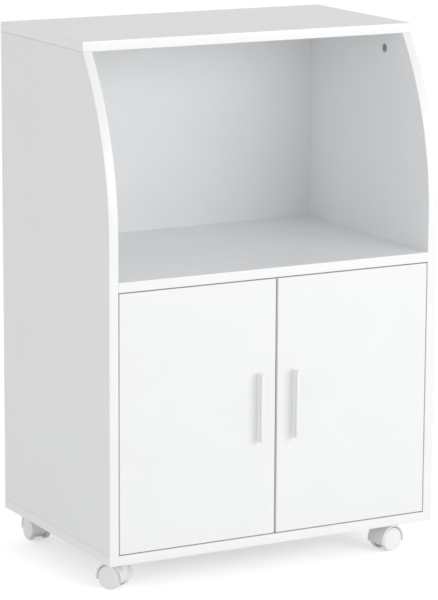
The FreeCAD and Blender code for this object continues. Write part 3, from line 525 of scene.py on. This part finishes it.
def turned_wheel(name, body, inner, steps=96):
    """A wheel turned from its section, whose inner face lies at a distance from the caster's middle."""
    section = np.array(WHEEL_SECTION_MM) * MM
    section[:, 1] += inner
    angles = np.linspace(0, 2 * math.pi, steps, endpoint=False)[:, None]
    return surface(name, turned(*wheel_frame(body), section, angles), close_u=True, smooth_angle=28.0)


def hood_fender(name, body, hood_radius, rim, steps=72):
    """The fender over both wheels and the web between them. A circle of radius r meets the level of the skirt
    at the angle -asin(d / r), with d the axle's height over the skirt, so each point of the section turns
    from there to the same place on the other side, and all ends are level."""
    centre, axle, across = wheel_frame(body)
    centre = centre * (1, 1, 0) + AXLE_HEIGHT * UP
    corners = [(WEB_RADIUS, -WEB_HALF), (POCKET_RADIUS, -WEB_HALF), (POCKET_RADIUS, -FENDER_HALF),
               (hood_radius, -FENDER_HALF), (hood_radius, FENDER_HALF), (POCKET_RADIUS, FENDER_HALF),
               (POCKET_RADIUS, WEB_HALF), (WEB_RADIUS, WEB_HALF)]
    fillet = FENDER_FILLET
    section = softened(corners, [0, fillet, fillet, rim, rim, fillet, fillet, 0])
    start = -np.arcsin((AXLE_HEIGHT - SKIRT_HEIGHT) / section[:, 0])
    t = np.linspace(0, 1, steps)[:, None]
    points = turned(centre, axle, across, section, start + t * (math.pi - 2 * start))
    return surface(name, points, close_v=True, caps=True, smooth_angle=28.0)


def hood_drum(name, body, radius, rim, steps=72):
    """The hood's body between the wheels: a disc with rounded rims, turned about the axle."""
    centre, axle, across = wheel_frame(body)
    centre = centre * (1, 1, 0) + AXLE_HEIGHT * UP
    corners = [(0, -WEB_HALF), (radius, -WEB_HALF), (radius, WEB_HALF), (0, WEB_HALF)]
    section = softened(corners, [0, rim, rim, 0])
    angles = np.linspace(0, 2 * math.pi, steps, endpoint=False)[:, None]
    points = turned(centre, axle, across, section, angles)
    return surface(name, points, close_u=True, close_v=True, smooth_angle=28.0)


def hood_boss(name, joint, body, steps=72):
    """The boss round the king pin: point = pin + r (cos a across + sin a axle) + height up, where the part
    along the axle is held to the web's width, so two sides are flat."""
    _, axle, across = wheel_frame(body)
    pin = np.array(JOINTS[joint]["pos_m"], dtype=float) * (1, 1, 0)
    corners = [(KING_PIN_BORE, BOSS_FOOT), (BOSS_RADIUS, BOSS_FOOT), (BOSS_RADIUS, BOSS_TOP),
               (KING_PIN_BORE, BOSS_TOP)]
    section = softened(corners, [0, 0, BOSS_RIM, 0])
    a = np.linspace(0, 2 * math.pi, steps, endpoint=False)[:, None, None]
    radius = section[None, :, :1]
    sideways = np.clip(radius * np.sin(a), -WEB_HALF, WEB_HALF)
    points = pin + radius * np.cos(a) * across + sideways * axle + section[None, :, 1:] * UP
    return surface(name, points, close_u=True, close_v=True, smooth_angle=28.0)


# ---- what a user can change ----
class CartSizes(bpy.types.PropertyGroup):
    band_thickness: bpy.props.FloatProperty(
        name="Edge band", description="Thickness of the edge band", default=1.0 * MM, unit="LENGTH")
    band_radius: bpy.props.FloatProperty(
        name="Band corner", description="Radius of the edge band's corners", default=0.8 * MM, unit="LENGTH")
    band_proud: bpy.props.FloatProperty(
        name="Band step", description="How far the band stands proud of the board", default=0.08 * MM,
        unit="LENGTH")
    wheel_inner: bpy.props.FloatProperty(
        name="Wheel spacing", description="Caster's middle to a wheel's inner face", default=10.3 * MM,
        unit="LENGTH")
    handle_width: bpy.props.FloatProperty(
        name="Handle width", description="Width of a handle's front", default=7.2 * MM, unit="LENGTH")
    handle_projection: bpy.props.FloatProperty(
        name="Handle projection", description="How far a handle stands out from its door", default=16.5 * MM,
        unit="LENGTH")
    handle_groove: bpy.props.FloatProperty(
        name="Finger groove", description="Depth of the groove in a handle's side", default=2.6 * MM,
        unit="LENGTH")
    handle_soft: bpy.props.FloatProperty(
        name="Handle edge", description="Rounding of a handle's edges", default=0.6 * MM, unit="LENGTH")
    hood_radius: bpy.props.FloatProperty(
        name="Hood", description="Radius of a caster's fender", default=24.5 * MM, unit="LENGTH")
    hood_rim: bpy.props.FloatProperty(
        name="Hood rim", description="Rounding of the fender's rims", default=1.2 * MM, unit="LENGTH")
    drum_radius: bpy.props.FloatProperty(
        name="Hood body", description="Radius of the hood between the wheels", default=17.0 * MM,
        unit="LENGTH")
    lamp_size: bpy.props.FloatProperty(
        name="Key lamp", description="Width of the large soft lamp", default=3.0, unit="LENGTH")


class CartColours(bpy.types.PropertyGroup):
    board: bpy.props.FloatVectorProperty(
        name="Board", description="Melamine face", subtype="COLOR", size=4, default=linear("#F4F5F6"))
    band: bpy.props.FloatVectorProperty(
        name="Band", description="Edge band", subtype="COLOR", size=4, default=linear("#F6F7F8"))
    back: bpy.props.FloatVectorProperty(
        name="Back board", description="Lacquered hardboard", subtype="COLOR", size=4,
        default=linear("#F0F1F2"))
    handle: bpy.props.FloatVectorProperty(
        name="Handle", description="Powder coat", subtype="COLOR", size=4, default=linear("#F3F4F5"))
    hood: bpy.props.FloatVectorProperty(
        name="Hood", description="Caster hood", subtype="COLOR", size=4, default=linear("#F4F2EF"))
    wheel: bpy.props.FloatVectorProperty(
        name="Wheel", description="Caster wheel", subtype="COLOR", size=4, default=linear("#F8F8FB"))


class CartStep:
    """What the operators share."""
    bl_options = {"REGISTER", "UNDO"}

    def style(self):
        sizes = bpy.context.scene.cart_sizes
        return sizes.band_thickness, sizes.band_radius, sizes.band_proud

    def colour(self, name):
        return tuple(getattr(bpy.context.scene.cart_colours, name))


class CART_OT_boards(CartStep, bpy.types.Operator):
    """Gives every board its melamine face and chipboard core"""
    bl_idname = "cart.boards"
    bl_label = "Boards"

    def execute(self, context):
        flat_boards = ("top_panel", "bottom_panel", "microwave_shelf", "adjustable_shelf", "left_door",
                       "right_door")
        for name in flat_boards:
            finish = melamine_board("melamine_" + name, self.colour("board"), low(name), high(name))
            paint([name], finish)
        for side in SIDES:
            name = side + "_side_panel"
            finish = melamine_board("melamine_" + name, self.colour("board"), low(name), high(name),
                                    curved=True)
            paint([name], finish)
        paint(["back_panel"], back_hardboard("lacquered_hardboard", self.colour("back")))
        return {"FINISHED"}


class CART_OT_edge_bands(CartStep, bpy.types.Operator):
    """Adds the plastic strips on the boards' edges"""
    bl_idname = "cart.edge_bands"
    bl_label = "Edge bands"

    def execute(self, context):
        finish = edge_band("extruded_abs_band", self.colour("band"))
        style = self.style()
        for side, sign in (("left", -1), ("right", 1)):
            band = curved_band(side + "_side_band", sign * (HALF_WIDTH - BOARD / 2), style)
            dress(band, "carcass", finish)
        for name in ("top_panel", "bottom_panel"):
            self.round_board(name, finish, style)
        for name in ("microwave_shelf", "adjustable_shelf"):
            lowest, highest = low(name), high(name)
            z = (lowest[2] + highest[2]) / 2
            band = straight_band(name + "_band", (lowest[0], lowest[1], z), (highest[0], lowest[1], z),
                                 (0, -1, 0), BOARD, style)
            dress(band, "carcass", finish)
        for side in SIDES:
            self.round_door(side, finish, style)
        return {"FINISHED"}

    def round_board(self, name, finish, style):
        """A band round a level board of the carcass."""
        lowest, highest = low(name), high(name)
        z = (lowest[2] + highest[2]) / 2
        corners = [(lowest[0], lowest[1], z), (highest[0], lowest[1], z), (highest[0], highest[1], z),
                   (lowest[0], highest[1], z)]
        band = framing_band(name + "_band", corners, (0, 0, 1), BOARD, style)
        dress(band, "carcass", finish)

    def round_door(self, side, finish, style):
        """A band round an upright door."""
        lowest, highest = low(side + "_door"), high(side + "_door")
        y = (lowest[1] + highest[1]) / 2
        corners = [(lowest[0], y, lowest[2]), (highest[0], y, lowest[2]), (highest[0], y, highest[2]),
                   (lowest[0], y, highest[2])]
        band = framing_band(side + "_door_band", corners, (0, 1, 0), BOARD, style)
        dress(band, side + "_door_leaf", finish)


class CART_OT_handles(CartStep, bpy.types.Operator):
    """Adds the extruded bar handles"""
    bl_idname = "cart.handles"
    bl_label = "Handles"

    def execute(self, context):
        sizes = context.scene.cart_sizes
        finish = powder_coated_aluminium("powder_coated_aluminium", self.colour("handle"))
        for side in SIDES:
            bar = extruded_handle(side + "_bar_handle", side + "_door_handle", sizes.handle_width,
                                  sizes.handle_projection, sizes.handle_groove, sizes.handle_soft)
            dress(bar, side + "_door_leaf", finish)
            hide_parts(side + "_door_handle")
        return {"FINISHED"}


class CART_OT_hardware(CartStep, bpy.types.Operator):
    """Finishes the hinges, screws, cams, pins and dowels"""
    bl_idname = "cart.hardware"
    bl_label = "Hardware"

    def execute(self, context):
        nickel = plated_steel("nickel_plated_pressed_steel", linear("#C9C6BE"), 1.2 * MM, 0.24, 0.3)
        zinc = plated_steel("bright_zinc_plated_steel", linear("#C4C6C8"), 0.8 * MM, 0.25, 0.4)
        cast = plated_steel("die_cast_zinc", linear("#A9AAAB"), 0.6 * MM, 0.3, 0.42)
        for name in frame["nodes"]:
            if "_hinge_" in name and "screws" not in name and "pins" not in name:
                paint([name], nickel)
            elif "screws" in name or "pins" in name or name == "cam_bolts":
                paint([name], zinc)
        paint(["cam_locks"], cast)
        paint(["dowels"], turned_beech("turned_beech"))
        return {"FINISHED"}


class CART_OT_casters(CartStep, bpy.types.Operator):
    """Adds the moulded hoods and turned wheels, and finishes the axles and plates"""
    bl_idname = "cart.casters"
    bl_label = "Casters"

    def execute(self, context):
        hood = moulded_plastic("moulded_nylon_hood", self.colour("hood"), 0.5, 0.5 * MM)
        wheel = moulded_plastic("moulded_polypropylene_wheel", self.colour("wheel"), 0.42, 0.4 * MM)
        steel = plated_steel("zinc_plated_caster_steel", linear("#C4C6C8"), 0.9 * MM, 0.25, 0.4)
        sizes = context.scene.cart_sizes
        inner = sizes.wheel_inner
        for caster in CASTERS:
            self.hood(caster, sizes, hood)
            paint([caster + "_caster_plate", caster + "_caster_axle"], steel)
            for wheel_name in ("a", "b"):
                body = f"{caster}_roller_{wheel_name}"
                piece = turned_wheel(f"{caster}_turned_wheel_{wheel_name}", body, inner)
                dress(piece, body, wheel)
                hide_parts(f"{caster}_wheel_{wheel_name}")
        return {"FINISHED"}

    def hood(self, caster, sizes, finish):
        """The hood as one piece of fender, drum and boss, in the heading of the caster's first wheel."""
        roller = caster + "_roller_a"
        parts = [hood_fender(caster + "_fender", roller, sizes.hood_radius, sizes.hood_rim),
                 hood_drum(caster + "_drum", roller, sizes.drum_radius, sizes.hood_rim),
                 hood_boss(caster + "_boss", caster + "_swivel", roller)]
        hood = joined(caster + "_moulded_hood", parts)
        dress(hood, caster + "_caster", finish)
        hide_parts(caster + "_caster_hood")


class CART_OT_studio(CartStep, bpy.types.Operator):
    """Makes the floor, lamps, sky and camera"""
    bl_idname = "cart.studio"
    bl_label = "Studio"

    def execute(self, context):
        self.floor()
        self.world()
        size = context.scene.cart_sizes.lamp_size
        self.lamp("key_lamp", azimuth=27.0, elevation=14.5, distance=4.2, watts=52.5, size=(size, size / 2))
        self.lamp("fill_lamp", azimuth=-50.0, elevation=14.5, distance=4.2, watts=12.0, size=(2.0, 2.0))
        self.camera()
        context.scene.view_settings.view_transform = "Standard"
        return {"FINISHED"}

    def floor(self):
        """A flat round floor: point = radius (cos a, sin a, 0). It is white, and also glows a little where it
        is seen or mirrored, so the background is white and the cart's shadow stays."""
        angle = np.linspace(0, 2 * math.pi, 64, endpoint=False)
        radius = np.array([0.0, FLOOR_RADIUS])[:, None]
        points = np.stack([radius * np.cos(angle), radius * np.sin(angle), 0 * radius * angle], -1)
        floor = surface("floor", points, close_v=True)
        material, tree = new_material("studio_floor")
        rays = node(tree, "LightPath")
        seen = node(tree, "Math", {"operation": "MAXIMUM"}, i0=rays.outputs["Is Camera Ray"],
                    i1=rays.outputs["Is Glossy Ray"])
        glow = node(tree, "Math", {"operation": "MULTIPLY"}, i0=seen.outputs[0], i1=0.4)
        matt = node(tree, "BsdfDiffuse", Color=linear("#FFFFFF"))
        light = node(tree, "Emission", Color=linear("#FFFFFF"), Strength=glow.outputs[0])
        both = node(tree, "AddShader", i0=matt.outputs[0], i1=light.outputs[0])
        node(tree, "OutputMaterial", Surface=both.outputs[0])
        floor.data.materials.append(material)

    def world(self):
        """A plain sky: white where it is seen or mirrored, dimmer where it lights the cart."""
        world = bpy.data.worlds.new("studio_sky")
        world.use_nodes = True
        tree = world.node_tree
        tree.nodes.clear()
        rays = node(tree, "LightPath")
        seen = node(tree, "Math", {"operation": "MAXIMUM"}, i0=rays.outputs["Is Camera Ray"],
                    i1=rays.outputs["Is Transmission Ray"])
        seen = node(tree, "Math", {"operation": "MAXIMUM"}, i0=seen.outputs[0],
                    i1=rays.outputs["Is Glossy Ray"])
        strength = node(tree, "MapRange", Value=seen.outputs[0], i1=0.0, i2=1.0, i3=0.63, i4=1.0)
        sky = node(tree, "Background", Color=linear("#FFFFFF"), Strength=strength.outputs[0])
        node(tree, "OutputWorld", Surface=sky.outputs[0])
        bpy.context.scene.world = world

    def lamp(self, name, azimuth, elevation, distance, watts, size):
        """A wide soft lamp that looks at the cart's middle. Azimuth 0 is in front, and 90 to the right."""
        a, e = math.radians(azimuth), math.radians(elevation)
        towards = Vector((math.sin(a) * math.cos(e), -math.cos(a) * math.cos(e), math.sin(e)))
        data = bpy.data.lights.new(name, "AREA")
        data.shape = "RECTANGLE"
        data.energy = watts
        data.size, data.size_y = size
        lamp = bpy.data.objects.new(name, data)
        lamp.location = Vector((0.0, 0.0, CART_MIDDLE)) + towards * distance
        lamp.rotation_euler = (-towards).to_track_quat("-Z", "Y").to_euler()
        lamp.visible_camera = False
        bpy.context.scene.collection.objects.link(lamp)

    def camera(self):
        """The camera of the fit at the top of this file. It is turned by its yaw, pitch and roll, in that
        order."""
        data = bpy.data.cameras.new("camera")
        data.sensor_fit = "AUTO"
        data.sensor_width = SENSOR_MM
        data.lens = CAMERA_FOCAL_PIXELS / FRAME_HEIGHT_PIXELS * SENSOR_MM
        data.clip_end = 100.0
        camera = bpy.data.objects.new("camera", data)
        camera.location = CAMERA_PLACE
        yaw, pitch, roll = (math.radians(value) for value in CAMERA_DEGREES)
        turn = Matrix.Rotation(yaw, 3, "Z") @ Matrix.Rotation(math.pi / 2 - pitch, 3, "X")
        camera.rotation_euler = (turn @ Matrix.Rotation(roll, 3, "Z")).to_euler()
        bpy.context.scene.collection.objects.link(camera)
        bpy.context.scene.camera = camera


class CART_PT_panel(bpy.types.Panel):
    """Lists the cart's steps"""
    bl_label = "Cart"
    bl_idname = "CART_PT_panel"
    bl_space_type = "VIEW_3D"
    bl_region_type = "UI"
    bl_category = "Cart"

    def draw(self, context):
        for step in STEPS:
            self.layout.operator(step.bl_idname)
        for group in (context.scene.cart_sizes, context.scene.cart_colours):
            for name in group.__annotations__:
                self.layout.prop(group, name)


STEPS = (CART_OT_boards, CART_OT_edge_bands, CART_OT_handles, CART_OT_hardware, CART_OT_casters,
         CART_OT_studio)
CLASSES = (CartSizes, CartColours) + STEPS + (CART_PT_panel,)


def register():
    for cls in CLASSES:
        bpy.utils.register_class(cls)
    bpy.types.Scene.cart_sizes = bpy.props.PointerProperty(type=CartSizes)
    bpy.types.Scene.cart_colours = bpy.props.PointerProperty(type=CartColours)


def unregister():
    del bpy.types.Scene.cart_colours
    del bpy.types.Scene.cart_sizes
    for cls in reversed(CLASSES):
        bpy.utils.unregister_class(cls)


def main():
    register()
    bpy.ops.cart.boards()
    bpy.ops.cart.edge_bands()
    bpy.ops.cart.handles()
    bpy.ops.cart.hardware()
    bpy.ops.cart.casters()
    bpy.ops.cart.studio()


if __name__ == "__main__":
    main()
